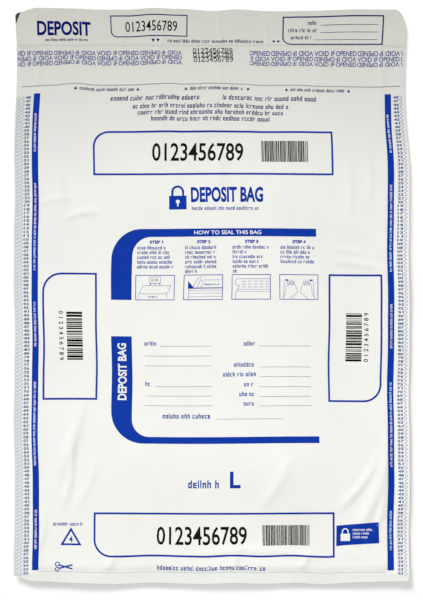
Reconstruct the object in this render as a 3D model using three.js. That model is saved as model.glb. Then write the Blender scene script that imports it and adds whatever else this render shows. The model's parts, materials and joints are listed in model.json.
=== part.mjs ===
// A flat cash deposit bag of tamper-evident polyethylene film, empty and open, lying on its back.
//
// The bag is two film webs welded along both sides. The front web is the front panel and, past a
// perforation at the mouth, the tear-off receipt. The back web is the back panel and, past the mouth,
// the closure flap, which carries the adhesive strip and the liner that keeps it covered.
//
// Millimetres, +Z up. X runs across the bag, Y along it with the mouth towards +Y, and the origin is
// the centre of the underside. Every layer lies parallel to the XY plane except the front panel,
// which stands a little proud in the middle because the empty pouch keeps some air.
import * as THREE from "three";

// Driving dimensions.
const BAG_WIDTH = 486;
const BAG_LENGTH = 708;
const WELD_WIDTH = 20; // the fused strip down each side
const BOTTOM_FOLD = 12; // the doubled strip under the pouch, up to the cut line
const FLAP_LENGTH = 48; // mouth to free edge, for the flap and for the receipt over it
const FLAP_INSET = 0.6; // the flap and the receipt are a little narrower than the pouch, on each side
const PERFORATION_STRIP = 2.4; // band of ties along the receipt's edge, at the mouth
const TIE = 1.6; // film left between two slits of the perforation
const SLIT_LENGTH = 6.4;
const SLIT_WIDTH = 0.5;
const TAPE_WIDTH = 24; // adhesive strip across the flap
const TAPE_FROM_FOLD = 12;
const LINER_OVERHANG = 4; // how far the liner runs past the adhesive, so that fingers can lift it
const STRIP_INSET = 5; // adhesive and liner stop short of the flap's side edges, clear of its corners

const FILM = 0.1; // thickness of one web
const ADHESIVE = 0.06;
const LINER = 0.06;
const LAYER_GAP = 0.1; // air between two loose layers
const EDGE_GAP = 0.3; // between two pieces that meet edge to edge

const POUCH_LOFT = 9; // how far the front panel stands over the back one in the middle
const FLAT_AT_MOUTH = 112; // length next to the mouth where the front panel lies flat
const FLAT_AT_BOTTOM = 24;
const FLAT_AT_SIDE = 14;
const SLOPE_LENGTH = 60; // from the flat margin up to the middle, along the bag
const SLOPE_WIDTH = 48; // and across it

const CORNER = 8; // radius of the bag's four corners

// Places worked out from them.
const halfWidth = BAG_WIDTH / 2;
const halfLength = BAG_LENGTH / 2;
const mouthY = halfLength - FLAP_LENGTH;
const cutLineY = -halfLength + BOTTOM_FOLD;
const weldInnerX = halfWidth - WELD_WIDTH;
const flapHalfWidth = halfWidth - FLAP_INSET;
const stripHalfWidth = flapHalfWidth - STRIP_INSET;
const linerZ = FILM + ADHESIVE + LAYER_GAP;
const frontZ = linerZ + LINER + LAYER_GAP; // underside of the front web

const whiteFilm = new THREE.MeshStandardMaterial({ color: 0xeeeee6, roughness: 0.38, metalness: 0 });
const darkFilm = new THREE.MeshStandardMaterial({ color: 0x4b4c49, roughness: 0.45, metalness: 0 });
const adhesive = new THREE.MeshStandardMaterial({ color: 0x2f55a4, roughness: 0.3, metalness: 0 });
const linerPaper = new THREE.MeshStandardMaterial({ color: 0xe3dfcf, roughness: 0.6, metalness: 0 });

// A rectangle whose corners may be round. radii runs bottom left, bottom right, top right, top left.
function panelOutline(x0, x1, y0, y1, radii = [0, 0, 0, 0]) {
  const [bottomLeft, bottomRight, topRight, topLeft] = radii;
  const outline = new THREE.Shape();
  outline.moveTo(x0 + bottomLeft, y0);
  outline.lineTo(x1 - bottomRight, y0);
  roundCorner(outline, x1 - bottomRight, y0 + bottomRight, bottomRight, -Math.PI / 2);
  outline.lineTo(x1, y1 - topRight);
  roundCorner(outline, x1 - topRight, y1 - topRight, topRight, 0);
  outline.lineTo(x0 + topLeft, y1);
  roundCorner(outline, x0 + topLeft, y1 - topLeft, topLeft, Math.PI / 2);
  if (bottomLeft > 0) {
    outline.lineTo(x0, y0 + bottomLeft);
    roundCorner(outline, x0 + bottomLeft, y0 + bottomLeft, bottomLeft, Math.PI);
  }
  return outline;
}

function roundCorner(outline, centreX, centreY, radius, startAngle) {
  if (radius > 0) outline.absarc(centreX, centreY, radius, startAngle, startAngle + Math.PI / 2, false);
}

// One flat layer: its outline, given a thickness and stood on its level.
function layer(name, outline, level, thickness, material) {
  const geometry = new THREE.ExtrudeGeometry(outline, { depth: thickness, bevelEnabled: false, curveSegments: 6 });
  const mesh = new THREE.Mesh(geometry, material);
  mesh.name = name;
  mesh.position.z = level;
  return mesh;
}

function backPanel() {
  const outline = panelOutline(-weldInnerX + EDGE_GAP, weldInnerX - EDGE_GAP, cutLineY + EDGE_GAP, mouthY - EDGE_GAP);
  return layer("back_panel", outline, 0, FILM, darkFilm);
}

// Both webs are fused here, so each strip is two films thick.
function sideWeld(name, side) {
  const x0 = side < 0 ? -halfWidth : weldInnerX;
  const outline = panelOutline(x0, x0 + WELD_WIDTH, cutLineY + EDGE_GAP, mouthY - EDGE_GAP);
  return layer(name, outline, 0, 2 * FILM, whiteFilm);
}

function bottomFold() {
  const outline = panelOutline(-halfWidth, halfWidth, -halfLength, cutLineY, [CORNER, CORNER, 0, 0]);
  return layer("bottom_fold", outline, 0, 2 * FILM, whiteFilm);
}

// Rises from 0 at the flat margin to 1 where the slope ends.
function slope(distance, flat, length) {
  return THREE.MathUtils.clamp((distance - flat) / length, 0, 1);
}

function pouchHeight(x, y) {
  const across = slope(weldInnerX - Math.abs(x), FLAT_AT_SIDE, SLOPE_WIDTH);
  const alongBottom = slope(y - cutLineY, FLAT_AT_BOTTOM, SLOPE_LENGTH);
  const alongMouth = slope(mouthY - y, FLAT_AT_MOUTH, SLOPE_LENGTH);
  return POUCH_LOFT * Math.min(across, alongBottom, alongMouth);
}

// The lines where the front panel may bend: its edges, the ends of its slopes and their middles.
function bendLines(start, startFlat, end, endFlat, slopeLength) {
  const lines = [start, start + startFlat, start + startFlat + slopeLength / 2, start + startFlat + slopeLength];
  return lines.concat([end - endFlat - slopeLength, end - endFlat - slopeLength / 2, end - endFlat, end]);
}

// The grid points round the rim of a shell, anticlockwise from its first corner.
function rimOf(columns, rows) {
  const rim = [];
  for (let column = 0; column < columns - 1; column++) rim.push([column, 0]);
  for (let row = 0; row < rows - 1; row++) rim.push([columns - 1, row]);
  for (let column = columns - 1; column > 0; column--) rim.push([column, rows - 1]);
  for (let row = rows - 1; row > 0; row--) rim.push([0, row]);
  return rim;
}

// A thin shell over a grid of bend lines. Both its faces share one triangulation, so they stay parallel,
// and each cell is split along the crease that runs in from the nearest corner.
function shellGeometry(xLines, yLines, heightAt, thickness) {
  const columns = xLines.length;
  const rows = yLines.length;
  const middleY = (yLines[0] + yLines[rows - 1]) / 2;
  const positions = [];
  for (const lift of [0, thickness])
    for (const y of yLines) for (const x of xLines) positions.push(x, y, heightAt(x, y) + lift);
  const lower = ([column, row]) => row * columns + column;
  const upper = (point) => columns * rows + lower(point);
  const index = [];
  for (let row = 0; row < rows - 1; row++) {
    for (let column = 0; column < columns - 1; column++) {
      const cell = [[column, row], [column + 1, row], [column + 1, row + 1], [column, row + 1]];
      const side = (xLines[column] + xLines[column + 1]) * (yLines[row] + yLines[row + 1] - 2 * middleY);
      const triangles = side > 0 ? [0, 1, 2, 0, 2, 3] : [0, 1, 3, 1, 2, 3];
      index.push(...triangles.map((corner) => upper(cell[corner])));
      index.push(...triangles.reverse().map((corner) => lower(cell[corner])));
    }
  }
  const rim = rimOf(columns, rows);
  rim.forEach((from, i) => {
    const to = rim[(i + 1) % rim.length];
    index.push(lower(from), lower(to), upper(to), lower(from), upper(to), upper(from));
  });
  const geometry = new THREE.BufferGeometry();
  geometry.setAttribute("position", new THREE.Float32BufferAttribute(positions, 3));
  geometry.setIndex(index);
  geometry.computeVertexNormals();
  return geometry;
}

function frontPanel() {
  const edgeX = weldInnerX - EDGE_GAP;
  const startY = cutLineY + EDGE_GAP;
  const endY = mouthY - EDGE_GAP;
  const xLines = bendLines(-edgeX, FLAT_AT_SIDE - EDGE_GAP, edgeX, FLAT_AT_SIDE - EDGE_GAP, SLOPE_WIDTH);
  const yLines = bendLines(startY, FLAT_AT_BOTTOM - EDGE_GAP, endY, FLAT_AT_MOUTH - EDGE_GAP, SLOPE_LENGTH);
  const mesh = new THREE.Mesh(shellGeometry(xLines, yLines, pouchHeight, FILM), whiteFilm);
  mesh.name = "front_panel";
  mesh.position.z = frontZ;
  return mesh;
}

// A knife slit that runs to a point at both ends, from its left tip.
function slit(tipX, middleY) {
  const half = SLIT_WIDTH / 2;
  const cut = new THREE.Path();
  cut.moveTo(tipX, middleY);
  cut.lineTo(tipX + half, middleY - half);
  cut.lineTo(tipX + SLIT_LENGTH - half, middleY - half);
  cut.lineTo(tipX + SLIT_LENGTH, middleY);
  cut.lineTo(tipX + SLIT_LENGTH - half, middleY + half);
  cut.lineTo(tipX + half, middleY + half);
  return cut;
}

// The band of film that the receipt tears along, cut through by a row of slits.
function perforationStrip() {
  const y0 = mouthY + EDGE_GAP;
  const outline = panelOutline(-flapHalfWidth, flapHalfWidth, y0, y0 + PERFORATION_STRIP);
  const pitch = SLIT_LENGTH + TIE;
  const slits = Math.floor((2 * flapHalfWidth - TIE) / pitch);
  const firstX = (-slits * pitch + TIE) / 2;
  for (let i = 0; i < slits; i++) outline.holes.push(slit(firstX + i * pitch, y0 + PERFORATION_STRIP / 2));
  return layer("perforation_strip", outline, frontZ, FILM, whiteFilm);
}

function tearOffReceipt() {
  const y0 = mouthY + EDGE_GAP + PERFORATION_STRIP + EDGE_GAP;
  const outline = panelOutline(-flapHalfWidth, flapHalfWidth, y0, halfLength, [0, 0, CORNER, CORNER]);
  return layer("tear_off_receipt", outline, frontZ, FILM, whiteFilm);
}

function closureFlap() {
  const y0 = mouthY + EDGE_GAP;
  const outline = panelOutline(-flapHalfWidth, flapHalfWidth, y0, halfLength, [0, 0, CORNER, CORNER]);
  return layer("closure_flap", outline, 0, FILM, darkFilm);
}

function voidTape() {
  const y0 = mouthY + TAPE_FROM_FOLD;
  const outline = panelOutline(-stripHalfWidth, stripHalfWidth, y0, y0 + TAPE_WIDTH);
  return layer("void_tape", outline, FILM, ADHESIVE, adhesive);
}

function releaseLiner() {
  const y0 = mouthY + TAPE_FROM_FOLD - LINER_OVERHANG;
  const width = TAPE_WIDTH + 2 * LINER_OVERHANG;
  const outline = panelOutline(-stripHalfWidth, stripHalfWidth, y0, y0 + width);
  return layer("release_liner", outline, linerZ, LINER, linerPaper);
}

const pouch = new THREE.Group();
pouch.add(backPanel(), sideWeld("left_side_weld", -1), sideWeld("right_side_weld", 1), bottomFold(), frontPanel());

const closure = new THREE.Group();
closure.add(perforationStrip(), tearOffReceipt(), closureFlap(), voidTape(), releaseLiner());

const bag = new THREE.Group();
bag.add(pouch, closure);

export default bag;
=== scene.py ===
"""A flat cash deposit bag of tamper-evident film, laid on a white table and seen from straight above.

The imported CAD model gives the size, the mouth line and the cut line. Every film web is rebuilt here as
a thin closed sheet with the bag's slack, soft folds and seam puckers, and the print lies on the film
as ink, drawn in the bag's own flat coordinates.

Flat coordinates: u runs across the bag and v along it, in millimetres, with the mouth towards +v.
"""

import json
import math
import random

import bmesh
import bpy
import numpy as np
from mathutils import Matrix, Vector


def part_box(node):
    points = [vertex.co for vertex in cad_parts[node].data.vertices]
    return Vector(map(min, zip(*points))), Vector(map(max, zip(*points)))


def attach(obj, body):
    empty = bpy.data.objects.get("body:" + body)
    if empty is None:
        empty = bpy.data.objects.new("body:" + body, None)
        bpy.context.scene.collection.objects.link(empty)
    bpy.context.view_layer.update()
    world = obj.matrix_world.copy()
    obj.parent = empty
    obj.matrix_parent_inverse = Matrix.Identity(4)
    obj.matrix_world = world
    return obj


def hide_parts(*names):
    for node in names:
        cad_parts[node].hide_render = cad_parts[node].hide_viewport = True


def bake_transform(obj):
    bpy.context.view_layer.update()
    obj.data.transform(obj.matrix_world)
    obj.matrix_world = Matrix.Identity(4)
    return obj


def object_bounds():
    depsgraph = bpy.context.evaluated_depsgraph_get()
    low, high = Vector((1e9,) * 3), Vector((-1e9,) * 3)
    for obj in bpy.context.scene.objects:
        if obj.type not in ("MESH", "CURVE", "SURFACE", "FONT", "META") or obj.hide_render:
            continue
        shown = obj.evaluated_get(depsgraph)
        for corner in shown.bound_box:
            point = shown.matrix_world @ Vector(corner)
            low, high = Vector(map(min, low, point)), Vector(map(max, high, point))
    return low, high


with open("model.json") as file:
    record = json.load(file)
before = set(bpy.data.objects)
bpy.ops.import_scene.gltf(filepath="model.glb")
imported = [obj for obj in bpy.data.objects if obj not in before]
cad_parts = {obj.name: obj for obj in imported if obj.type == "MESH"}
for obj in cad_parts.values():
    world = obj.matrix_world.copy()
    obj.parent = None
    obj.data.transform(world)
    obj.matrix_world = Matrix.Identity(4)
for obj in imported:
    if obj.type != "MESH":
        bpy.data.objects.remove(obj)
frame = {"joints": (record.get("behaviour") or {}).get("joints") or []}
cad_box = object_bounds()
MM = 0.001


def millimetres(point):
    return [value / MM for value in point]


def joint_named(name):
    return next(joint for joint in frame["joints"] if joint["name"] == name)


# Driving dimensions, from the frame.
HALF_WIDTH = cad_box[1][0] / MM
HALF_LENGTH = cad_box[1][1] / MM
_, MOUTH, FOLD_HEIGHT = millimetres(joint_named("flap_fold")["pos_m"])
CUT = millimetres(joint_named("mouth_open")["pos_m"])[1]
WELD = millimetres(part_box("right_side_weld")[0])[0]
FLAP_HALF = millimetres(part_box("closure_flap")[1])[0]
STRIP_END = millimetres(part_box("perforation_strip")[1])[1]
TAPE_LOW, TAPE_HIGH = (millimetres(corner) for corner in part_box("void_tape"))
LINER_LOW, LINER_HIGH = (millimetres(corner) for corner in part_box("release_liner"))
FILM = millimetres(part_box("closure_flap")[1])[2]
FRONT_LEVEL = millimetres(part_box("tear_off_receipt")[0])[2]

EDGE_SLACK = 0.1  # two webs that meet edge to edge
CROWN = 6.2  # the empty pouch keeps a little air
CLOSURE_FLAT = 200.0  # above this line all the webs lie close together, so that the flap can fold
INK_RISE = 0.16  # ink stands this far over the film, so that it never sinks into a ripple
WHITE_RISE = 0.06  # white print stands this much higher, over the blue that it is left out of
BACK_PITCH, WELD_PITCH, FRONT_PITCH, CLOSURE_PITCH = 6.0, 2.5, 2.3, 1.6  # spacing of the webs' meshes


# --- The shape of the film ---


def smooth(value, start, end):
    """0 before start, 1 after end and an even rise between them."""
    t = np.clip((value - start) / (end - start), 0.0, 1.0)
    return t * t * (3.0 - 2.0 * t)


# Soft folds in the front web: one end (u, v), the other end (u, v), height and width.
SOFT_FOLDS = [
    (-158, -112, -196, -236, 2.2, 8.0),
    (-172, -168, -184, -262, 1.7, 4.5),
    (-140, -196, -168, -262, 1.0, 5.0),
    (218, -176, 174, -300, 2.0, 8.0),
    (204, -196, 158, -262, 1.5, 5.0),
    (214, -236, 190, -312, 1.3, 4.0),
    (-184, 94, -136, 104, 1.2, 4.0),
    (-214, 112, -168, 120, 0.9, 4.0),
    (146, 41, 208, 33, 1.1, 4.0),
    (150, 58, 196, 47, 0.8, 4.0),
    (-196, 188, -186, 96, 1.4, 5.0),
    (-152, 214, -146, 128, 1.0, 6.0),
    (182, 206, 194, 118, 1.3, 5.0),
    (162, 178, 168, 96, 0.8, 4.5),
    (96, -196, 60, -262, 0.9, 7.0),
    (-92, -192, -60, -258, 0.8, 6.0),
    (8, 214, 4, 118, 1.0, 5.0),
    (-40, -322, 150, -326, 0.8, 4.5),
    (160, -312, 192, -328, 0.6, 4.0),
    (-206, -262, -216, -318, 1.1, 4.0),
    (120, -316, 104, -340, 1.1, 4.0),
    (-120, -318, -132, -340, 1.1, 4.5),
    (30, -318, 22, -340, 0.9, 4.0),
    (-60, -316, -52, -338, 0.8, 4.0),
]

# Folds that run up through the closure, where every web lies flat on the next.
CLOSURE_FOLDS = [
    (5, 372, 3, 214, 0.6, 2.8),
    (-112, 360, -120, 262, 0.42, 3.0),
    (-161, 356, -168, 306, 0.5, 3.0),
    (-58, 362, -66, 290, 0.4, 3.0),
    (62, 362, 70, 276, 0.42, 3.0),
    (139, 366, 132, 250, 0.42, 3.2),
    (202, 352, 212, 236, 0.55, 3.2),
    (-214, 350, -226, 236, 0.55, 3.6),
    (226, 340, 190, 372, 0.5, 3.0),
    (-232, 330, -196, 352, 0.45, 3.0),
]


def soft_folds(u, v, folds):
    """The height that these folds add: each is a slightly bowed ridge that dies out at both ends."""
    total = np.zeros_like(u)
    for start_u, start_v, end_u, end_v, height, width in folds:
        along_u, along_v = end_u - start_u, end_v - start_v
        length = math.hypot(along_u, along_v)
        along_u, along_v = along_u / length, along_v / length
        along = (u - start_u) * along_u + (v - start_v) * along_v
        share = along / length
        bow = 0.06 * length * np.sin(math.pi * np.clip(share, 0.0, 1.0))
        across = (u - start_u) * -along_v + (v - start_v) * along_u - bow
        ends = smooth(share, -0.15, 0.35) * (1.0 - smooth(share, 0.65, 1.15))
        total += height * ends * np.exp(-((across / width) ** 2))
    return total


def slack(u, v):
    """How far every web stands off the table: waves along the sides and the bottom edge."""
    below_closure = 1.0 - smooth(v, 130.0, CLOSURE_FLAT)
    from_side = HALF_WIDTH - np.abs(u)
    side_wave = 2.2 + 0.6 * np.sin(v / 33.0 + 1.1 * np.sign(u)) + 0.3 * np.sin(v / 14.0 + 0.4)
    side = np.exp(-from_side / 19.0) * side_wave
    bottom_wave = 2.4 + 1.0 * np.sin(u / 31.0 + 0.8) + 0.4 * np.sin(u / 12.5)
    bottom = np.exp(-(v + HALF_LENGTH) / 20.0) * bottom_wave
    ripple = 0.13 * (1.0 + np.sin(u / 21.0 + 1.5 * np.sin(v / 37.0)))
    closure_wave = ripple + soft_folds(u, v, CLOSURE_FOLDS)
    return below_closure * (side + bottom) + (1.0 - below_closure) * closure_wave


def waves(u, v, seed, count, shortest, longest, upright):
    """A sum of seeded sine waves, about 1 high. upright turns the crests towards the bag's length."""
    dice = random.Random(seed)
    total = np.zeros_like(u)
    for _ in range(count):
        length = dice.uniform(shortest, longest)
        turn = dice.gauss(0.0, 1.0) * (1.0 - upright) * 1.4
        phase = dice.uniform(0.0, math.tau)
        bend = dice.uniform(0.3, 0.9) * np.sin(v / dice.uniform(60.0, 120.0) + dice.uniform(0.0, 6.0))
        distance = u * math.cos(turn) + v * math.sin(turn)
        total += np.sin(math.tau * distance / length + phase + bend)
    return total / math.sqrt(count)


def front_rise(u, v):
    """Height of the front web's underside over the level at which the bag's slack carries it."""
    from_weld, from_cut = WELD - np.abs(u), v - CUT
    inside = smooth(from_weld, 0.0, 9.0) * smooth(from_cut, 0.0, 10.0)
    level = FILM + (FRONT_LEVEL - FILM) * inside
    pouch = 1.0 - smooth(v, 96.0, CLOSURE_FLAT + 12.0)
    crown = CROWN * smooth(from_weld, 2.0, 150.0) * smooth(from_cut, 4.0, 150.0) * pouch
    broad = 0.42 * waves(u, v, 5, 7, 95.0, 210.0, 0.35)
    fine = 0.055 * waves(u, v, 11, 9, 20.0, 46.0, 0.75)
    near_weld = np.exp(-from_weld / 13.0) * smooth(from_weld, 0.0, 7.0)
    near_cut = np.exp(-from_cut / 22.0) * smooth(from_cut, 0.0, 8.0)
    pucker = 0.34 * near_weld * (1.0 + waves(v, u, 23, 5, 12.0, 30.0, 0.9))
    pucker = pucker + 0.45 * near_cut * (1.0 + waves(u, v, 29, 6, 16.0, 48.0, 0.9))
    loose = inside * (0.15 + 0.85 * pouch)
    return level + crown + loose * (0.75 + broad + fine + pucker + soft_folds(u, v, SOFT_FOLDS))


def front_level(u, v):
    """Underside of the front web. Past the mouth it is the receipt, which lies flat on the flap."""
    below_mouth = 1.0 - smooth(v, CLOSURE_FLAT + 12.0, MOUTH)
    flat = FRONT_LEVEL - FILM
    return slack(u, v) + np.where(v < MOUTH, flat + (front_rise(u, v) - flat) * below_mouth, FRONT_LEVEL)


def level_at(height):
    return lambda u, v: slack(u, v) + height


# How far the film is drawn along the bag, at the dotted fold line and at the free edge: (u, shift).
FOLD_LINE_SHIFT = [
    (-243, -2.4), (-200, -0.4), (-172, 2.0), (-138, -0.5), (-105, -0.2), (-50, 2.1), (-36, 0.9), (0, 2.1),
    (45, 0.8), (64, -0.7), (106, -0.4), (141, -1.8), (203, -2.7), (243, -1.5),
]
FREE_EDGE_SHIFT = [
    (-243, 0.0), (-214, 0.5), (-172, -0.4), (-137, -1.8), (-102, -1.8), (-70, 0.3), (-40, -0.8), (4, -3.4),
    (30, -1.5), (80, -3.8), (115, -3.3), (185, -1.5), (243, -1.9),
]
# The same round the lower number box.
FOOT_SHIFT = [
    (-243, 0.6), (-190, 1.2), (-114, -0.5), (-74, 0.9), (-10, -0.6), (27, 0.9), (62, -0.4), (97, 0.8),
    (141, -1.1), (170, 0.4), (243, 0.6),
]


def eased(u, knots):
    """An even curve through the knots, level at each of them."""
    places, values = zip(*knots)
    places, values = np.array(places, float), np.array(values, float)
    index = np.clip(np.searchsorted(places, u) - 1, 0, len(places) - 2)
    share = smooth((u - places[index]) / (places[index + 1] - places[index]), 0.0, 1.0)
    return values[index] + share * (values[index + 1] - values[index])


def place(u, v, z):
    """The bag's own flat coordinates to the row frame, in metres, with the film's small sideways waves.
    The mouth line stays straight, because the flap folds along it."""
    waist = 1.0 - 0.019 * np.exp(-(((v - 262.0) / np.where(v < 262.0, 62.0, 100.0)) ** 2))
    high = smooth(v, 130.0, 230.0)
    lean = -1.3 * high
    x = u * waist + lean + 0.55 * np.sin(v / 29.0 + u / 90.0) + 0.2 * np.sin(v / 13.0 + u / 31.0)
    straight_mouth = 1.0 - np.exp(-(((v - MOUTH) / 9.0) ** 2))
    to_edge = smooth(v, 259.0, HALF_LENGTH)
    drawn = eased(u, FOLD_LINE_SHIFT) * (1.0 - to_edge) + eased(u, FREE_EDGE_SHIFT) * to_edge
    upper = smooth(v, 170.0, 252.0) * straight_mouth * drawn
    middle = 0.5 * np.sin(u / 43.0 + v / 160.0) * (1.0 - smooth(v, 120.0, 200.0)) * smooth(v, -300.0, -240.0)
    foot = eased(u, FOOT_SHIFT) * (1.0 - smooth(v, -330.0, -275.0))
    y = v + upper + middle + foot
    return np.stack([x * MM, y * MM, z * MM], axis=-1)


# --- Film sheets ---


def rounded(distance, radius):
    """How far a round corner cuts in, at this distance from the side."""
    inside = np.clip(radius - distance, 0.0, radius)
    return radius - np.sqrt(np.clip(radius**2 - inside**2, 0.0, None))


def steps(start, end, pitch):
    return np.linspace(start, end, max(2, round((end - start) / pitch) + 1))


def film_sheet(name, us, ends, rows, level, thickness, materials, kept=None):
    """A thin closed sheet over a grid. ends(u) gives the sheet's first and last v in each column, and
    kept(column, row) tells which cells hold film. The first material is the upper face's."""
    first, last = ends(us)
    share = np.linspace(0.0, 1.0, rows)[:, None]
    v = first[None, :] + share * (last - first)[None, :]
    u = np.broadcast_to(us[None, :], v.shape)
    under = level(u, v)
    skins = [place(u, v, height).reshape(-1, 3) for height in (under, under + thickness)]
    points = np.concatenate(skins)
    columns = len(us)
    half = rows * columns
    row_index, column_index = np.mgrid[0 : rows - 1, 0 : columns - 1]
    keep = np.ones(row_index.shape, bool) if kept is None else kept(column_index, row_index)
    cells = row_index * columns + column_index
    upper = cells[keep][:, None] + [half, half + 1, half + columns + 1, half + columns]
    lower = upper[:, ::-1] - half
    padded = np.pad(keep, 1)
    rim = []
    sides = ((-1, 0, 0, 1), (0, 1, 1, columns + 1), (1, 0, columns + 1, columns), (0, -1, columns, 0))
    for step_row, step_column, start, end in sides:
        beside = padded[1 + step_row : rows + step_row, 1 + step_column : columns + step_column]
        rim.append(cells[keep & ~beside][:, None] + [start, end, end + half, start + half])
    faces = np.concatenate([upper, lower] + rim)
    piece = new_piece(name, points, faces, materials)
    slots = np.zeros(len(faces), np.int32)
    slots[len(upper) : 2 * len(upper)] = len(materials) - 1
    piece.data.polygons.foreach_set("material_index", slots)
    piece.data.update()
    return piece


def new_piece(name, points, faces, materials):
    """An object from these faces and the points that they use."""
    used, renumbered = np.unique(np.concatenate(faces), return_inverse=True)
    ends = np.cumsum([len(face) for face in faces])
    rings = [ring.tolist() for ring in np.split(renumbered, ends[:-1])]
    mesh = bpy.data.meshes.new(name)
    mesh.from_pydata(points[used].tolist(), [], rings)
    for material in materials:
        mesh.materials.append(material)
    piece = bpy.data.objects.new(name, mesh)
    bpy.context.collection.objects.link(piece)
    mesh.shade_smooth()
    mesh.set_sharp_from_angle(angle=math.radians(40.0))
    return piece


# --- Ink ---

CELL = 2.6  # ink is cut this finely, so that it follows the film's ripples
BROAD = 8.0  # lettering that is larger than this both ways is cut into cells too


class Ink:
    """Flat shapes of one ink, gathered in flat coordinates before they are laid on the film."""

    def __init__(self):
        self.points = []
        self.faces = []
        self.count = 0

    def add(self, points, faces):
        self.points.append(np.asarray(points, float).reshape(-1, 2))
        self.faces.extend([self.count + index for index in face] for face in faces)
        self.count += len(self.points[-1])

    def loft(self, first, second, across=1):
        """Fills between two lines with the same number of points."""
        first, second = np.asarray(first, float), np.asarray(second, float)
        share = np.linspace(0.0, 1.0, across + 1)[:, None, None]
        grid = first[None] * (1.0 - share) + second[None] * share
        count = len(first)
        cells = [row * count + column for row in range(across) for column in range(count - 1)]
        self.add(grid, [[cell, cell + 1, cell + count + 1, cell + count] for cell in cells])

    def bar(self, x0, x1, y0, y1):
        along = max(1, math.ceil((x1 - x0) / CELL))
        across = max(1, math.ceil((y1 - y0) / CELL))
        xs = np.linspace(x0, x1, along + 1)
        self.loft([(x, y0) for x in xs], [(x, y1) for x in xs], across)

    def line(self, path, width, closed=False):
        """A line of even width along a path, with mitred corners."""
        points = resample(path, closed)
        before = points - np.roll(points, 1, axis=0)
        after = np.roll(points, -1, axis=0) - points
        if not closed:
            before[0], after[-1] = after[0], before[-1]
        before /= np.linalg.norm(before, axis=1)[:, None]
        after /= np.linalg.norm(after, axis=1)[:, None]
        middle = before + after
        middle /= np.maximum(np.linalg.norm(middle, axis=1), 1e-6)[:, None]
        normal = np.stack([-middle[:, 1], middle[:, 0]], 1)
        mitre = 1.0 / np.clip(np.sum(middle * after, axis=1), 0.5, 1.0)
        offset = normal * (mitre * width / 2.0)[:, None]
        low, high = points - offset, points + offset
        if closed:
            low, high = np.concatenate([low, low[:1]]), np.concatenate([high, high[:1]])
        self.loft(low, high, math.ceil(width / 1.8))


def resample(path, closed):
    """The same path with no stretch longer than one ink cell."""
    path = [np.asarray(point, float) for point in path]
    ends = path[1:] + path[:1] if closed else path[1:]
    points = []
    for start, end in zip(path, ends):
        pieces = max(1, math.ceil(np.linalg.norm(end - start) / CELL))
        points += [start + (end - start) * i / pieces for i in range(pieces)]
    if not closed:
        points.append(path[-1])
    return np.array(points)


def arc(centre_x, centre_y, radius, start, end, count=8):
    angles = np.radians(np.linspace(start, end, count + 1))
    return [(centre_x + radius * math.cos(a), centre_y + radius * math.sin(a)) for a in angles]


def box_path(x0, x1, y0, y1, round_corner=None, radius=0.0):
    """A rectangle's outline, anticlockwise from its lower left corner, with one corner rounded."""
    corners = (
        ("bottom_left", x0, y0, 180.0),
        ("bottom_right", x1, y0, 270.0),
        ("top_right", x1, y1, 0.0),
        ("top_left", x0, y1, 90.0),
    )
    path = []
    for name, x, y, start in corners:
        if name == round_corner:
            centre_x = x + radius if x == x0 else x - radius
            centre_y = y + radius if y == y0 else y - radius
            path += arc(centre_x, centre_y, radius, start, start + 90.0)
        else:
            path.append((x, y))
    return path


def turned(points, x0, x1, y0, y1, turn):
    """Fits points from the unit square into a box. turn is which way the top of the square faces, in
    degrees anticlockwise."""
    s, t = points[:, 0], points[:, 1]
    s, t = {0: (s, t), 90: (1.0 - t, s), 180: (1.0 - s, 1.0 - t), -90: (t, 1.0 - s)}[turn]
    return np.stack([x0 + s * (x1 - x0), y0 + t * (y1 - y0)], 1)


LETTERING = {}


def lettering(text, bold):
    """Points and faces of a line of text in the unit square, from the font that Blender comes with."""
    if (text, bold) not in LETTERING:
        curve = bpy.data.curves.new("lettering", "FONT")
        curve.body = text
        curve.offset = bold
        curve.resolution_u = 3
        model = bpy.data.objects.new("lettering", curve)
        bpy.context.collection.objects.link(model)
        bpy.context.view_layer.update()
        mesh = bpy.data.meshes.new_from_object(model.evaluated_get(bpy.context.evaluated_depsgraph_get()))
        points = np.array([vertex.co[:2] for vertex in mesh.vertices])
        faces = [list(polygon.vertices) for polygon in mesh.polygons]
        low, high = points.min(axis=0), points.max(axis=0)
        LETTERING[text, bold] = (points - low) / (high - low), faces
        bpy.data.objects.remove(model)
        bpy.data.curves.remove(curve)
        bpy.data.meshes.remove(mesh)
    return LETTERING[text, bold]


def write(ink, text, x0, x1, y0, y1, bold=0.0, turn=0):
    points, faces = lettering(text, bold)
    points = turned(points, x0, x1, y0, y1, turn)
    if min(x1 - x0, y1 - y0) > BROAD:
        points, faces = cut_finely(points, faces)
    ink.add(points, faces)


def cut_finely(points, faces):
    """Cuts flat faces along a grid of ink cells."""
    cut = bmesh.new()
    vertices = [cut.verts.new((x, y, 0.0)) for x, y in points]
    for face in faces:
        if len({tuple(np.round(points[index], 5)) for index in face}) == len(face):
            cut.faces.new([vertices[index] for index in face])
    for axis, normal in ((0, (1, 0, 0)), (1, (0, 1, 0))):
        for position in np.arange(points[:, axis].min() + CELL, points[:, axis].max(), CELL):
            everything = cut.verts[:] + cut.edges[:] + cut.faces[:]
            on_line = tuple(position * part for part in normal)
            bmesh.ops.bisect_plane(cut, geom=everything, dist=1e-5, plane_co=on_line, plane_no=normal)
    cut.verts.index_update()
    fine_points = np.array([vertex.co[:2] for vertex in cut.verts])
    fine_faces = [[vertex.index for vertex in face.verts] for face in cut.faces]
    cut.free()
    return fine_points, fine_faces


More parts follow.
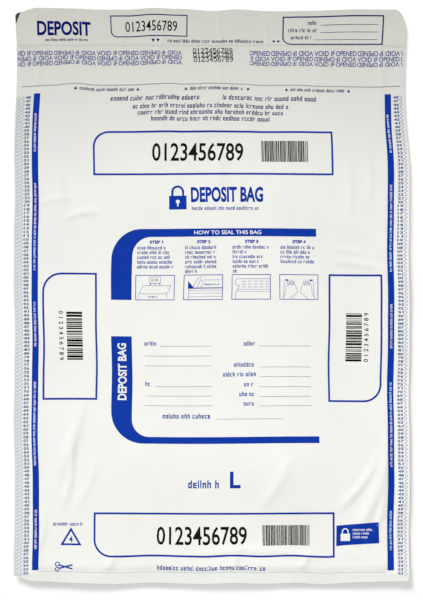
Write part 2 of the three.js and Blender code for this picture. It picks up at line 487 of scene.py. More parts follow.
# Made-up letter shapes: strokes in a letter that is 1 wide and 1 high, as x0, x1, y0, y1.
POST_LEFT, POST_RIGHT = (0.0, 0.34, 0.0, 0.7), (0.66, 1.0, 0.0, 0.7)
TALL_LEFT, TALL_RIGHT = (0.0, 0.34, 0.0, 1.0), (0.66, 1.0, 0.0, 1.0)
BASE, WAIST, SHOULDER = (0.0, 1.0, 0.0, 0.17), (0.0, 1.0, 0.29, 0.43), (0.0, 1.0, 0.53, 0.7)
LETTERS = [
    [POST_LEFT, POST_RIGHT, SHOULDER],
    [POST_LEFT, POST_RIGHT, BASE],
    [POST_LEFT, BASE, SHOULDER],
    [POST_LEFT, POST_RIGHT, BASE, SHOULDER],
    [POST_LEFT, BASE, WAIST, SHOULDER],
    [TALL_LEFT, POST_RIGHT, SHOULDER],
    [POST_LEFT, TALL_RIGHT, BASE, SHOULDER],
    [TALL_LEFT],
    [POST_LEFT, SHOULDER],
]


def small_print(ink, x0, x1, y0, y1, seed, turn=0, italic=0.0):
    """A line of made-up letters that fills the box, for text too small to need words."""
    dice = random.Random(seed)
    length, height = (x1 - x0, y1 - y0) if turn in (0, 180) else (y1 - y0, x1 - x0)
    letter = 0.45 * height
    points, faces = [], []
    place_s, letters_left = 0.0, dice.randint(2, 8)
    while place_s + letter <= length + 0.01:
        if letters_left == 0:
            letters_left = dice.randint(2, 8)
            place_s += 0.38 * height
            continue
        strokes = dice.choice(LETTERS)
        width = 0.3 * letter if len(strokes) == 1 else letter
        for left, right, low, high in strokes:
            base = len(points)
            left, right = (0.0, width) if len(strokes) == 1 else (left * width, right * width)
            for s, t in ((left, low), (right, low), (right, high), (left, high)):
                points.append(((place_s + s + italic * t * height) / length, t))
            faces.append([base, base + 1, base + 2, base + 3])
        place_s += width + 0.15 * height
        letters_left -= 1
    ink.add(turned(np.array(points), x0, x1, y0, y1, turn), faces)


def barcode(ink, x0, x1, y0, y1, seed, bars, upright=True):
    """Bars and gaps of one to three modules, with no meaning."""
    dice = random.Random(seed)
    length = (x1 - x0) if upright else (y1 - y0)
    widths = [dice.choice((1, 1, 1, 2) if index % 2 else (1, 2, 2, 3)) for index in range(2 * bars - 1)]
    module = length / sum(widths)
    start = 0.0
    for index, width in enumerate(widths):
        end = start + width * module
        box = (x0 + start, x0 + end, y0, y1) if upright else (x0, x1, y0 + start, y0 + end)
        if index % 2 == 0:
            ink.bar(*box)
        start = end


def dotted(ink, x0, x1, y, dot, pitch, height):
    for x in np.arange(x0, x1, pitch):
        ink.bar(x, x + dot, y - height / 2.0, y + height / 2.0)


def disc(ink, x, y, radius):
    ink.add(arc(x, y, radius, 0.0, 360.0, 16)[:-1], [list(range(16))])


def triangle(ink, x, y, size, up=True):
    tip = size if up else -size
    low, high = (y, y + tip)
    ink.add([(x - size * 0.6, low), (x + size * 0.6, low), (x, high)], [[0, 1, 2]])


def padlock(ink, cut_out, x, y, size):
    """A padlock, size high, with its lower left corner at (x, y)."""
    body = 0.58 * size
    ink.bar(x, x + 0.74 * size, y, y + body)
    shackle = [(x + 0.14 * size, y + body)] + arc(x + 0.37 * size, y + 0.74 * size, 0.23 * size, 180.0, 0.0)
    ink.line(shackle + [(x + 0.6 * size, y + body)], 0.09 * size)
    disc(cut_out, x + 0.37 * size, y + 0.33 * size, 0.085 * size)
    cut_out.bar(x + 0.34 * size, x + 0.4 * size, y + 0.13 * size, y + 0.33 * size)


def curved_band(ink, x_outer, x_inner, x_end, y_end, y_outer, y_inner, r_outer, r_inner):
    """A broad upright bar that turns through a quarter circle into a narrow level one."""
    sign = 1.0 if y_outer > y_end else -1.0
    lines = []
    for x, y, r in ((x_outer, y_outer, r_outer), (x_inner, y_inner, r_inner)):
        upright = [(x, q) for q in np.linspace(y_end, y - sign * r, 15)]
        turn = arc(x + r, y - sign * r, r, 180.0, 180.0 - sign * 90.0, 14)
        level = [(q, y) for q in np.linspace(x + r, x_end, 55)]
        lines.append(upright[:-1] + turn[:-1] + level)
    ink.loft(lines[0], lines[1], 6)


blue, navy, dark, grey, pale, steel, violet, white = (Ink() for _ in range(8))
SERIAL = "0123456789"
BOX_LINE = 2.3  # width of the lines round the white boxes
RULE = 0.42  # width of the lines to write on
SKETCH = 0.4  # width of the lines in the four step pictures


# --- What is printed on the bag ---


def print_receipt():
    write(navy, "DEPOSIT", -216.0, -149.0, 320.0, 338.0, bold=0.03)
    small_print(navy, -206.0, -153.0, 313.4, 316.8, 1)
    navy.line(box_path(-123.3, -28.7, 319.6, 345.8, "bottom_left", 7.0), 1.3, closed=True)
    write(dark, SERIAL, -105.4, -40.6, 325.6, 338.6, bold=0.004)
    navy.line(box_path(90.5, 214.0, 309.6, 346.0, "bottom_left", 11.0), 1.6, closed=True)
    rows = ((335.4, 136.9, 121.3), (326.2, 136.9, 96.7), (316.6, 129.8, 100.4))
    for row, (y, line_start, label_start) in enumerate(rows):
        small_print(navy, label_start, line_start - 2.5, y + 0.6, y + 5.8, 10 + row)
        navy.line([(line_start, y), (208.0, y)], 0.6)
    small_print(navy, -53.0, 67.9, 311.4, 316.0, 14)
    for x in (-71.2, -65.1, 79.1, 84.8):
        triangle(navy, x, 315.6, 3.8, up=False)


def print_tamper_pattern():
    """Rows of the same two words, every second pair upside down, for the flap to seal over. The rows
    run off both sides of the bag."""
    words, word_pitch, gap, row_height = ("VOID IF", "OPENED"), 27.0, 1.4, 5.4
    for row, y in enumerate((296.0, 289.8, 283.6)):
        for left, right, start in ((-242.0, -34.3, -250.3), (49.2, 242.4, 22.2)):
            for index, low in enumerate(np.arange(start, right, word_pitch)):
                upright = (index // 2 + row) % 2 == 0
                word = words[index % 2 if upright else 1 - index % 2]
                turn = 0 if upright else 180
                strip = Ink()
                write(strip, word, low, low + word_pitch - gap, y, y + row_height, bold=0.012, turn=turn)
                points = np.concatenate(strip.points)
                inside = (points[:, 0] > left) & (points[:, 0] < right)
                violet.add(points, [face for face in strip.faces if inside[face].all()])
    for row, y in enumerate((297.3, 292.0, 286.7)):
        for digit in range(10):
            dot_matrix(dark, str(digit), -21.5 + digit * 5.05 + row * 0.4, y, 4.1, 7.4)


# Each digit's dots, row by row from its top.
DOTS = {
    "0": "01110 10001 10001 10001 10001 10001 01110",
    "1": "00100 01100 00100 00100 00100 00100 01110",
    "2": "01110 10001 00001 00110 01000 10000 11111",
    "3": "11111 00010 00100 00010 00001 10001 01110",
    "4": "00010 00110 01010 10010 11111 00010 00010",
    "5": "11111 10000 11110 00001 00001 10001 01110",
    "6": "00110 01000 10000 11110 10001 10001 01110",
    "7": "11111 00001 00010 00100 01000 01000 01000",
    "8": "01110 10001 10001 01110 10001 10001 01110",
    "9": "01110 10001 10001 01111 00001 00010 01100",
}


def dot_matrix(ink, digit, x, y, width, height):
    """A digit of round dots, as a marking head prints it. (x, y) is its lower left corner."""
    for row, cells in enumerate(DOTS[digit].split()):
        for column, cell in enumerate(cells):
            if cell == "1":
                dot_x = x + (column + 0.5) * width / 5.0
                dot_y = y + height - (row + 0.5) * height / 7.0
                size = 0.62 * width / 5.0
                ink.bar(dot_x - size, dot_x + size, dot_y - size, dot_y + size)


def print_fold_line():
    dotted(navy, -236.0, 237.6, 259.3, 1.15, 2.5, 1.25)
    for index, (start, end) in enumerate(((-171.0, -89.8), (-32.6, 48.4), (94.0, 175.1))):
        small_print(navy, start + 6.5, end - 6.5, 252.0, 256.4, 20 + index, italic=0.15)
        triangle(navy, start + 1.5, 252.3, 3.6)
        triangle(navy, end - 1.5, 252.3, 3.6)


def print_notice():
    """Four lines of small print above the number box."""
    small_print(navy, -125.7, -13.0, 240.2, 246.4, 30, italic=0.18)
    small_print(navy, 14.6, 134.4, 240.0, 246.2, 31, italic=0.1)
    for index, (y, half) in enumerate(((230.2, 97.5), (222.4, 91.0), (214.6, 74.5))):
        small_print(navy, -half, half, y, y + 5.8, 32 + index, italic=0.06)


def stripe_centre(side, y):
    if side < 0:
        return -216.9 + 1.0 * smooth(-y, 150.0, 320.0)
    return 220.4 + 2.0 * smooth(y, 190.0, 245.0)


# Where the writing in the side stripes starts and ends along the bag.
STRIPE_TEXT = ((-313, -263), (-210, -106), (-64, -8), (30, 138), (176, 225))


def print_side_stripes():
    """A blue stripe inside each weld, and the checking pattern of cells and digits outside it."""
    for side, turn in ((-1, -90), (1, 90)):
        blue.line([(stripe_centre(side, y), y) for y in np.arange(-338.0, 251.0, 4.0)], 7.9)
        for index, (low, high) in enumerate(STRIPE_TEXT):
            centre = stripe_centre(side, (low + high) / 2.0)
            small_print(white, centre - 1.6, centre + 1.6, low, high, 50 + index + side, turn=turn)
        security_edge(side)


def security_edge(side):
    """Counting numbers and a chain of cells, which no longer meet if a weld is cut and closed again."""
    numbers_at, half, chain_at = (-227.6, 3.2, -233.8) if side < 0 else (232.4, 3.5, 238.7)
    first, pitch, count, chain_half, ring_at = 22, 4.66, 127, 1.9, -238.9
    turns = np.radians(np.arange(0.0, 360.0, 45.0))
    for index in range(count):
        y = -343.0 + index * pitch
        digits = "%02d" % ((index + first) % 100)
        write(steel, digits, numbers_at - half, numbers_at + half, y, y + 3.2, bold=0.03)
        chain = [(chain_at - chain_half, y - pitch / 4.0), (chain_at + chain_half, y + pitch / 4.0)]
        pale.line(chain + [(chain_at - chain_half, y + 3.0 * pitch / 4.0)], 0.45)
        if side < 0:
            ring = np.stack([ring_at + 2.3 * np.cos(turns), y + 1.9 * np.sin(turns)], 1)
            pale.line(ring, 0.42, closed=True)


def white_box(x0, x1, y0, y1, round_corner, radius):
    blue.line(box_path(x0, x1, y0, y1, round_corner, radius), BOX_LINE, closed=True)


def print_number_box():
    white_box(-144.0, 149.0, 149.5, 201.5, "top_left", 18.0)
    write(dark, SERIAL, -72.0, 39.5, 165.4, 187.8, bold=0.012)
    barcode(dark, 62.0, 119.0, 164.6, 190.4, 3, 36)


def print_name():
    padlock(blue, white, -52.0, 106.0, 29.0)
    write(blue, "DEPOSIT BAG", -25.0, 64.0, 114.5, 133.5, bold=0.035)
    small_print(blue, -24.0, 62.0, 105.0, 109.6, 41)


# The length of each line of small print in each step.
STEP_LINES = (
    (36.0, 40.0, 41.5, 44.5, 44.0),
    (40.0, 38.5, 39.5, 40.0, 39.0, 16.0),
    (44.0, 18.5, 41.0, 33.5, 44.5, 7.0),
    (43.5, 36.5, 38.5, 41.0),
)
STEP_PITCH = 58.6


def print_steps():
    curved_band(blue, -123.0, -97.6, 129.0, -4.8, 82.4, 72.6, 37.0, 23.0)
    write(white, "HOW TO SEAL THIS BAG", -21.5, 61.0, 75.1, 80.0, bold=0.015)
    for step, lengths in enumerate(STEP_LINES):
        left = -91.5 + step * STEP_PITCH
        write(blue, "STEP %d" % (step + 1), left + 15.0, left + 31.5, 64.2, 68.2, bold=0.05)
        for row, length in enumerate(lengths):
            y = 57.3 - row * 5.84
            small_print(blue, left, left + length, y, y + 4.4, 60 + 10 * step + row)
        blue.line(box_path(left - 1.0, left + 46.0, -4.6, 25.6), 0.8, closed=True)
        STEP_PICTURES[step](left - 1.0, -4.6)


def sketch(x, y, *points, width=SKETCH):
    """A line of a step's picture, whose lower left corner is at (x, y)."""
    blue.line([(x + point_x, y + point_y) for point_x, point_y in points], width)


def picture_fill(x, y):
    """Slips go into the open bag."""
    sketch(x, y, (4.0, 1.0), (4.0, 7.5), (9.0, 17.5), (43.0, 17.5))
    sketch(x, y, (43.0, 17.5), (38.0, 7.5), (4.0, 7.5))
    sketch(x, y, (38.0, 7.5), (38.0, 1.0))
    blue.line(box_path(x + 17.0, x + 30.0, y + 20.5, y + 28.0), SKETCH, closed=True)
    small_print(blue, x + 19.0, x + 28.5, y + 23.0, y + 26.0, 91)
    for arrow in range(3):
        triangle(blue, x + 18.0 + 5.5 * arrow, y + 20.0, 1.8, up=False)
    small_print(blue, x + 15.0, x + 28.0, y + 2.6, y + 5.4, 92)


def picture_tear(x, y):
    """The receipt comes away from the mouth."""
    blue.add([(x + 5.0, y + 13.5), (x + 13.0, y + 13.5), (x + 5.0, y + 23.0)], [[0, 1, 2]])
    sketch(x, y, (11.0, 15.0), (16.5, 26.0), (22.0, 27.5))
    sketch(x, y, (16.0, 15.0), (20.0, 24.5), (24.0, 21.0), (20.5, 15.0))
    sketch(x, y, (24.0, 24.0), (47.0, 24.0), width=0.35)
    small_print(blue, x + 25.0, x + 43.0, y + 17.6, y + 20.0, 93)
    sketch(x, y, (10.0, 14.2), (47.0, 14.2), width=1.1)
    for level in (11.4, 8.0, 3.6):
        sketch(x, y, (6.0, level), (47.0, level), width=0.3)
    sketch(x, y, (6.0, 0.0), (6.0, 13.5))


def picture_fold(x, y):
    """The flap turns over to the dotted line."""
    blue.line(arc(x + 8.0, y + 21.0, 4.2, 90.0, 290.0, 12), SKETCH)
    sketch(x, y, (8.0, 25.2), (47.0, 25.2))
    for level in (22.0, 18.5, 15.0):
        dotted(blue, x + 12.0, x + 46.0, y + level, 5.0, 7.2, 0.45)
    sketch(x, y, (9.0, 17.0), (6.5, 12.0), (4.5, 9.0), (4.5, 0.0))
    for level in (12.0, 9.4):
        sketch(x, y, (6.5, level), (47.0, level), width=0.3)


def picture_press(x, y):
    """Two open hands press outwards from the middle."""
    middle = 23.5
    for side in (-1, 1):
        palm = middle + side * 7.0
        for finger in range(4):
            tip = palm + side * (finger * 2.6 - 1.0)
            rise = 25.0 - abs(finger - 1.2) * 1.8
            sketch(x, y, (tip - side * 1.2, 17.0), (tip, rise), (tip + side * 1.2, 17.0))
        sketch(x, y, (palm - side * 3.0, 17.0), (palm - side * 5.5, 9.0), (palm + side * 4.0, 1.0))
        sketch(x, y, (palm + side * 8.5, 17.0), (palm + side * 9.5, 8.0), (palm + side * 12.5, 1.0))
        blue.bar(x + 21.6 + side * 15.0, x + 25.6 + side * 15.0, y + 22.6, y + 24.4)
        sketch(x, y, (middle + side * 19.0, 1.0), (middle + side * 18.0, 22.0))


STEP_PICTURES = (picture_fill, picture_tear, picture_fold, picture_press)


def print_form():
    """The lower band round the lines that are filled in by hand."""
    curved_band(blue, -123.0, -97.6, 132.0, -49.6, -181.2, -173.0, 39.0, 21.5)
    write(white, "DEPOSIT BAG", -115.5, -104.5, -128.0, -58.0, bold=0.03, turn=90)
    left_column = -82.0
    name_lines = ((-61.5, -63.0), (-73.6, left_column), (-85.6, left_column))
    address_lines = ((-111.0, -69.5), (-122.7, left_column), (-134.5, left_column))
    for y, start in name_lines + address_lines:
        grey.line([(start, y), (0.6, y)], RULE)
    small_print(blue, left_column, -65.5, -60.8, -55.2, 101)
    small_print(blue, left_column, -74.0, -110.4, -104.8, 102)
    labels = ((-62.0, 40.0), (-87.7, 27.5), (-99.6, 14.5), (-111.9, 40.0), (-123.8, 34.0), (-135.3, 39.0))
    for row, (y, label_start) in enumerate(labels):
        grey.line([(58.5, y), (122.0, y)], RULE)
        small_print(blue, label_start, 54.6, y + 0.6, y + 6.2, 110 + row)
    small_print(blue, -60.0, -2.0, -150.2, -144.0, 120)
    grey.line([(5.5, -151.0), (89.0, -151.3)], RULE)


def print_side_boxes():
    white_box(-206.5, -141.5, -127.0, 27.0, "top_left", 22.0)
    barcode(dark, -178.0, -158.5, -79.0, -20.0, 7, 22, upright=False)
    write(dark, " ".join(SERIAL), -187.6, -182.2, -79.5, -19.0, bold=0.01, turn=-90)
    white_box(144.5, 208.5, -129.5, 25.5, "bottom_right", 21.0)
    barcode(dark, 165.0, 184.5, -80.5, -21.5, 9, 22, upright=False)
    write(dark, " ".join(SERIAL), 187.2, 192.6, -81.0, -20.5, bold=0.01, turn=90)


def print_foot():
    small_print(blue, -28.0, 10.5, -235.8, -226.0, 130)
    write(blue, "L", 23.0, 36.0, -236.0, -215.5, bold=0.03)
    white_box(-144.0, 150.5, -320.0, -267.5, "bottom_left", 20.0)
    write(dark, SERIAL, -68.0, 43.5, -306.6, -283.4, bold=0.012)
    barcode(dark, 63.0, 120.5, -307.0, -281.8, 3, 36)
    print_badge()
    small_print(blue, -195.0, -158.0, -282.6, -278.0, 145)
    blue.line([(-184.0, -306.0), (-162.0, -306.0), (-173.0, -287.0)], BOX_LINE, closed=True)
    write(blue, "4", -175.2, -170.8, -303.4, -295.6, bold=0.02)
    for side in (-1, 1):
        blue.line(arc(-189.0, -334.0 + side * 3.2, 2.4, 0.0, 360.0, 14), 1.1)
        blue.line([(-187.0, -334.0 + side * 2.2), (-170.5, -334.0 - side * 2.6)], 1.7)
    small_print(blue, -67.0, 66.5, -337.6, -331.6, 150)
    dotted(pale, -212.0, 214.0, -340.3, 1.2, 2.2, 0.6)


def print_badge():
    """A slanted panel with a padlock and three lines of small print."""
    share = np.linspace(0.0, 1.0, 15)[:, None]
    low = np.array([153.5, -307.4]) + share * [53.0, 3.0]
    high = np.array([154.0, -282.6]) + share * [52.0, 4.4]
    blue.loft(low, high, 7)
    padlock(white, blue, 159.0, -301.5, 15.5)
    for row in range(3):
        small_print(white, 174.0, 198.0 - 3.0 * row, -289.0 - 4.6 * row, -285.8 - 4.6 * row, 140 + row)


# --- Materials ---


def principled(name, roughness, specular=0.32):
    material = bpy.data.materials.new(name)
    material.use_nodes = True
    shader = material.node_tree.nodes["Principled BSDF"]
    shader.inputs["Roughness"].default_value = roughness
    shader.inputs["Specular IOR Level"].default_value = specular
    return material, shader


def add_node(material, kind, values):
    """A new node with its inputs set: an input takes a number, or the output that it is linked to."""
    node = material.node_tree.nodes.new("ShaderNode" + kind)
    for name, value in values.items():
        if isinstance(value, bpy.types.NodeSocket):
            material.node_tree.links.new(value, node.inputs[name])
        else:
            node.inputs[name].default_value = value
    return node


def own_place(material):
    """The bag's own coordinates."""
    return add_node(material, "TexCoord", {}).outputs["Object"]


def noise(material, scale, detail=3.0):
    """Noise with about `scale` lumps a metre."""
    values = {"Vector": own_place(material), "Scale": scale, "Detail": detail}
    return add_node(material, "TexNoise", values).outputs["Fac"]


def ramp(material, factor, low_position, low_value, high_position, high_value):
    """A colour, or a grey level for a single number, that runs from one value to the other."""
    node = add_node(material, "ValToRGB", {"Fac": factor})
    stops = ((low_position, low_value), (high_position, high_value))
    for element, (position, value) in zip(node.color_ramp.elements, stops):
        element.position = position
        element.color = (*value, 1.0) if hasattr(value, "__len__") else (value, value, value, 1.0)
    return node.outputs["Color"]


def along_bag(material):
    """0 in the lower half of the bag, rising to 1 at its closure end."""
    split = add_node(material, "SeparateXYZ", {"Vector": own_place(material)})
    values = {"Value": split.outputs["Y"], "From Min": 0.0, "From Max": HALF_LENGTH * MM}
    return add_node(material, "MapRange", values).outputs["Result"]


def bump(material, shader, height, strength, distance):
    node = add_node(material, "Bump", {"Height": height, "Strength": strength, "Distance": distance})
    material.node_tree.links.new(node.outputs["Normal"], shader.inputs["Normal"])


def surface(material, shader, colour, gloss, grain):
    """Gives the shader its colour, its gloss and a fine grain."""
    links = material.node_tree.links
    links.new(colour, shader.inputs["Base Color"])
    links.new(gloss, shader.inputs["Roughness"])
    scale, detail, strength, depth = grain
    bump(material, shader, noise(material, scale, detail), strength, depth)
    return material


def film_material(name, colour, roughness, mottle=0.018, painted_shade=None):
    """Blown film: nearly even in colour, cloudy in gloss, with a very fine grain. The last argument, when
    given, is painted shade: a colour that darkens and warms the film towards the closure end, where the
    light falls off."""
    material, shader = principled(name, roughness)
    low, high = [part * (1.0 - mottle) for part in colour], [part * (1.0 + mottle * 0.4) for part in colour]
    cloud = ramp(material, noise(material, 14.0, 4.0), 0.3, low, 0.7, high)
    if painted_shade:
        # Painted shade: the film's colour is multiplied by a ramp that darkens and warms it towards the
        # closure end.
        nodes, links = material.node_tree.nodes, material.node_tree.links
        mix = nodes.new("ShaderNodeMix")
        mix.data_type, mix.blend_type = "RGBA", "MULTIPLY"
        mix.inputs["Factor"].default_value = 1.0
        links.new(cloud, mix.inputs["A"])
        tint = ramp(material, along_bag(material), 0.38, (1.0, 1.0, 1.0), 1.0, painted_shade)
        links.new(tint, mix.inputs["B"])
        cloud = mix.outputs["Result"]
    gloss = ramp(material, noise(material, 38.0, 4.0), 0.3, roughness - 0.06, 0.7, roughness + 0.08)
    return surface(material, shader, cloud, gloss, (260.0, 2.0, 0.25, 0.0002))


def seam_material(name, colour, roughness):
    """Film that was fused between hot bars: the bars' ribs stay in it."""
    # The welds take the same painted shade towards the closure end as the outer film.
    material = film_material(name, colour, roughness, painted_shade=CLOSURE_PAINTED_SHADE)
    ribs = add_node(material, "TexWave", {"Vector": own_place(material), "Scale": 130.0, "Distortion": 0.6})
    ribs.bands_direction = "DIAGONAL"
    bump(material, material.node_tree.nodes["Principled BSDF"], ribs.outputs["Fac"], 0.12, 0.0002)
    return material


def ink_material(name, colour, roughness):
    """Flexographic ink, a little mottled where the plate printed thin."""
    material, shader = principled(name, roughness, 0.04)
    thin = [part + (0.8 - part) * 0.004 for part in colour]
    mottled = ramp(material, noise(material, 420.0), 0.4, thin, 0.62, colour)
    gloss = ramp(material, noise(material, 60.0), 0.3, roughness - 0.05, 0.7, roughness + 0.07)
    return surface(material, shader, mottled, gloss, (500.0, 2.0, 0.15, 0.0001))


def tape_material():
    """Pressure-sensitive adhesive on a blue tinted carrier."""
    material, shader = principled("void_tape_adhesive", 0.3)
    colour = ramp(material, noise(material, 120.0, 4.0), 0.35, (0.02, 0.08, 0.3), 0.7, (0.04, 0.13, 0.4))
    gloss = ramp(material, noise(material, 200.0), 0.35, 0.18, 0.7, 0.4)
    return surface(material, shader, colour, gloss, (700.0, 2.0, 0.4, 0.0002))


def liner_material():
    """Siliconed paper: fine fibres across it and a soft sheen."""
    material, shader = principled("release_paper", 0.55)
    fibres = ramp(material, noise(material, 900.0, 6.0), 0.3, (0.64, 0.6, 0.48), 0.7, (0.73, 0.69, 0.57))
    gloss = ramp(material, noise(material, 90.0), 0.3, 0.48, 0.7, 0.62)
    return surface(material, shader, fibres, gloss, (1400.0, 4.0, 0.3, 0.0001))


# Painted shade: at the closure end the outer film and the welds are darkened and warmed to this colour,
# where the light falls off.
CLOSURE_PAINTED_SHADE = (0.8, 0.797, 0.76)
OUTER = film_material("outer_film", (0.79, 0.79, 0.76), 0.4, painted_shade=CLOSURE_PAINTED_SHADE)
INNER = film_material("inner_film", (0.036, 0.037, 0.039), 0.5, mottle=0.15)
SEAM = seam_material("welded_film", (0.79, 0.79, 0.765), RULE)
# Painted shade: the bottom fold is coloured darker and a little cooler than the welds, for the shade that
# falls at the bag's foot.
SHADED_FOOT = seam_material("shaded_foot_film", (0.7, 0.713, 0.69), RULE)
INKS = {
    "blue": (blue, ink_material("blue_ink", (0.001, 0.033, 0.33), 0.5), "ink_blue"),
    "navy": (navy, ink_material("closure_blue_ink", (0.001, 0.006, 0.13), 0.5), "ink_blue"),
    "dark": (dark, ink_material("number_ink", (0.003, 0.003, 0.003), 0.5), "ink_dark"),
    "grey": (grey, ink_material("ruling_ink", (0.1, 0.17, 0.3), 0.45), "ink_blue"),
    "pale": (pale, ink_material("pale_ink", (0.1, 0.18, 0.34), 0.5), "ink_blue"),
    "steel": (steel, ink_material("steel_ink", (0.02, 0.07, 0.26), 0.5), "ink_blue"),
    "violet": (violet, ink_material("tamper_ink", (0.008, 0.018, 0.25), 0.5), "ink_blue"),
    "white": (white, film_material("unprinted_film", (0.76, 0.77, 0.76), 0.4), "film_outer"),
}

# --- The pieces ---


def straight(first, last):
    return lambda us: (np.full(len(us), first), np.full(len(us), last))


def closure_ends(first, dog_ear):
    """Ends of the flap or the receipt, which start at this line. Handling has rounded the corners of
    the free edge, and the dog ear is cut out of its left one."""

    def ends(us):
        left, right = us + FLAP_HALF, FLAP_HALF - us
        corner = rounded(left, 4.0) + 1.9 * rounded(right, 14.0)
        worn = 6.0 * (1.0 - smooth(left, 0.0, 28.0))
        ear = dog_ear * (1.0 - smooth(left, 0.0, 8.0))
        return np.full(len(us), first + EDGE_SLACK), HALF_LENGTH - 0.3 - corner - worn - ear

    return ends


def blend_front(piece):
    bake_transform(piece)


def state(piece, node, slot_name, width, length, **rest):
    """Hides the CAD part that a web stands for, if any. Its looks, its flat size in millimetres and the rest
    are not used.
    """
    if node:
        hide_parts(node)


def film_pieces():
    """Every web and strip of the bag."""
    pouch_ends = straight(CUT, MOUTH - EDGE_SLACK)
    back = film_sheet(
        "back_film", steps(-WELD, WELD, BACK_PITCH), pouch_ends, 110, level_at(0.0), FILM, [INNER, OUTER]
    )
    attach(back, "root")
    state(back, "back_panel", "film_outer", 2 * WELD, MOUTH - CUT)

    for side, name in ((-1, "left"), (1, "right")):
        low, high = sorted((side * WELD, side * HALF_WIDTH))
        weld = film_sheet(
            name + "_weld_strip", steps(low, high, WELD_PITCH), pouch_ends, 217, level_at(0.0), 2 * FILM,
            [SEAM],
        )
        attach(weld, "root")
        state(weld, name + "_side_weld", "seam", high - low, MOUTH - CUT)

        low, high = sorted((0.0, side * WELD))
        front = film_sheet(
            "front_film_" + name, steps(low, high, FRONT_PITCH), pouch_ends, 250, front_level, FILM,
            [OUTER, INNER],
        )
        blend_front(front)
        node = "front_panel" if name == "left" else None
        state(front, node, "film_outer", WELD, MOUTH - CUT, rests_on=["back_film"])

    def bottom_ends(us):
        left, right = us + HALF_WIDTH, HALF_WIDTH - us
        round_left = 6.4 * (1.0 - smooth(left, 0.0, 22.0)) + 3.2 * (1.0 - smooth(left, 0.0, 80.0))
        round_right = rounded(right, 4.0) + 2.4 * smooth(us, 120.0, HALF_WIDTH)
        return -HALF_LENGTH + 0.4 + round_left + round_right, np.full(len(us), CUT)

    bottom = film_sheet(
        "bottom_fold_film", steps(-HALF_WIDTH, HALF_WIDTH, WELD_PITCH), bottom_ends, 6, level_at(0.0),
        2 * FILM, [SHADED_FOOT],
    )
    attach(bottom, "root")
    state(bottom, "bottom_fold", "seam", 2 * HALF_WIDTH, CUT + HALF_LENGTH)

    corner_width = 16.0
    corner = np.linspace(0.0, 1.0, 13)[:-1] ** 2 * corner_width
    middle = steps(-FLAP_HALF + corner_width, FLAP_HALF - corner_width, CLOSURE_PITCH)
    across = np.concatenate([corner - FLAP_HALF, middle, FLAP_HALF - corner[::-1]])
    flap = film_sheet(
        "flap_film", across, closure_ends(MOUTH, 0.0), 49, level_at(0.0), FILM, [INNER, OUTER]
    )
    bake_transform(flap)
    state(flap, "closure_flap", "film_outer", 2 * FLAP_HALF, HALF_LENGTH - MOUTH)

    strips = (
        ("adhesive_strip", "void_tape", "flap", "adhesive", TAPE_LOW, TAPE_HIGH, tape_material()),
        ("liner_strip", "release_liner", "liner", "liner", LINER_LOW, LINER_HIGH, liner_material()),
    )
    for name, node, body, slot_name, low, high, material in strips:
        columns = np.unique(np.clip(across, low[0], high[0]))
        ends, thickness = straight(low[1], high[1]), high[2] - low[2]
        strip = film_sheet(name, columns, ends, 13, level_at(low[2]), thickness, [material])
        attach(strip, body)
        state(strip, node, slot_name, high[0] - low[0], high[1] - low[1], rests_on=["flap_film"])

    receipt = film_sheet(
        "receipt_film", across, closure_ends(STRIP_END, 11.0), 21, front_level, FILM, [OUTER, INNER]
    )
    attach(receipt, "receipt")
    length = HALF_LENGTH - STRIP_END
    state(receipt, "tear_off_receipt", "film_outer", 2 * FLAP_HALF, length, rests_on=["flap_film"])

    def ties(column, row):
        slit_row, slit_pitch, slit_length = 6, 5, 4
        return (row != slit_row) | (column % slit_pitch >= slit_length)

    edge = film_sheet(
        "perforated_edge", steps(-FLAP_HALF, FLAP_HALF, CLOSURE_PITCH), straight(MOUTH, STRIP_END), 14,
        front_level, FILM, [OUTER, INNER], kept=ties,
    )
    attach(edge, "receipt")
    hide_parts("perforation_strip")


def lay_print():
    """Drapes each ink over the film under it, as one piece for each ink and carrier."""
    for ink_name, (ink, material, slot_name) in INKS.items():
        points = np.concatenate(ink.points)
        rise = INK_RISE + (WHITE_RISE if ink_name == "white" else 0.0)
        top = np.where(on_seam(points), slack(*points.T) + 2 * FILM, front_level(*points.T) + FILM)
        placed = place(points[:, 0], points[:, 1], top + rise)
        groups = {}
        for face in ink.faces:
            corners = points[face]
            ahead, behind = corners[1] - corners[0], corners[2] - corners[0]
            facing_up = ahead[0] * behind[1] - ahead[1] * behind[0] >= 0.0
            carrier = carrier_at(*corners.mean(axis=0))
            groups.setdefault(carrier, []).append(face if facing_up else face[::-1])
        for carrier, faces in groups.items():
            piece = new_piece("%s_print_%s" % (carrier, ink_name), placed, faces, [material])
            if carrier in ("front_left", "front_right"):
                blend_front(piece)
            else:
                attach(piece, "receipt" if carrier == "receipt" else "root")


def on_seam(points):
    return (np.abs(points[:, 0]) > WELD) & (points[:, 1] < MOUTH) | (points[:, 1] < CUT)


def carrier_at(u, v):
    if v > MOUTH:
        return "receipt"
    if abs(u) > WELD or v < CUT:
        return "left_weld" if u < 0 else "right_weld"
    return "front_left" if u < 0 else "front_right"


# --- Table, light and camera ---


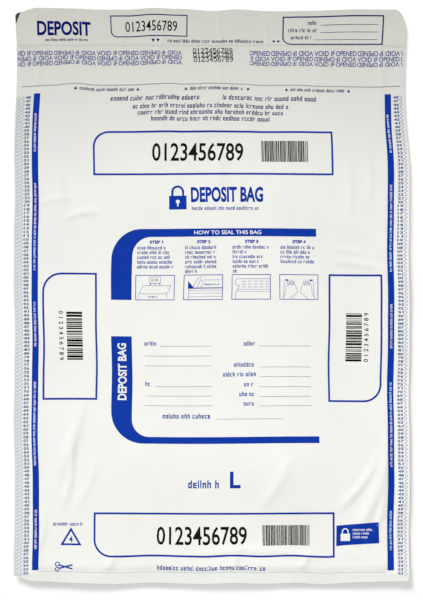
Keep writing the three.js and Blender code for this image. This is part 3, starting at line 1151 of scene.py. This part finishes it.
def table():
    """A white sweep, laid a few millimetres below the bag, so that a soft shadow runs all round it."""
    size, drop = 6.0, 0.004
    mesh = bpy.data.meshes.new("table")
    corners = [(-size, -size, 0), (size, -size, 0), (size, size, 0), (-size, size, 0)]
    mesh.from_pydata(corners, [], [[0, 1, 2, 3]])
    floor = bpy.data.objects.new("table", mesh)
    bpy.context.collection.objects.link(floor)
    floor.location.z = -drop
    material, shader = principled("white_sweep", 0.9, 0.1)
    shader.inputs["Base Color"].default_value = (0.93, 0.93, 0.93, 1.0)
    shader.inputs["Emission Strength"].default_value = 1.0
    links = material.node_tree.links
    glow = ramp(material, along_bag(material), 0.0, 0.01, 1.0, 0.16)
    links.new(glow, shader.inputs["Emission Color"])
    mesh.materials.append(material)


def hang(light, location, rotation):
    lamp = bpy.data.objects.new(light.name, light)
    bpy.context.collection.objects.link(lamp)
    lamp.location = location
    lamp.rotation_euler = rotation


def lights():
    """A broad lamp over the bag, a low sun from its upper left and an even white room."""
    key = bpy.data.lights.new("key", "AREA")
    key.size = 1.2
    key.spread = math.radians(60.0)
    key.energy = 2.0
    key.color = (1.0, 1.0, 0.99)
    location, target = Vector((0.0, -0.25, 1.3)), Vector((0.0, -0.2, 0.0))
    hang(key, location, (location - target).to_track_quat("Z", "Y").to_euler())
    side = bpy.data.lights.new("side", "SUN")
    side.energy = 2.4
    side.angle = math.radians(22.0)
    hang(side, (0.0, 0.0, 0.0), (math.radians(58.0), 0.0, math.radians(206.0)))
    world = bpy.data.worlds.new("studio")
    bpy.context.scene.world = world
    world.use_nodes = True
    background = world.node_tree.nodes["Background"]
    background.inputs["Color"].default_value = (1.0, 1.0, 0.98, 1.0)
    background.inputs["Strength"].default_value = 0.31


def camera():
    """Straight down, with the bag's length along the picture's long side."""
    distance, centre_y, seen_length, sensor = 2.6, -0.0052, 0.738, 36.0
    lens = bpy.data.cameras.new("camera")
    lens.sensor_width = sensor
    lens.lens = sensor * distance / seen_length
    view = bpy.data.objects.new("camera", lens)
    bpy.context.collection.objects.link(view)
    view.location = (0.0, centre_y, distance)
    bpy.context.scene.camera = view
    bpy.context.scene.view_settings.view_transform = "Standard"


print_receipt()
print_tamper_pattern()
print_fold_line()
print_notice()
print_side_stripes()
print_number_box()
print_name()
print_steps()
print_form()
print_side_boxes()
print_foot()

film_pieces()
lay_print()
table()
lights()
camera()
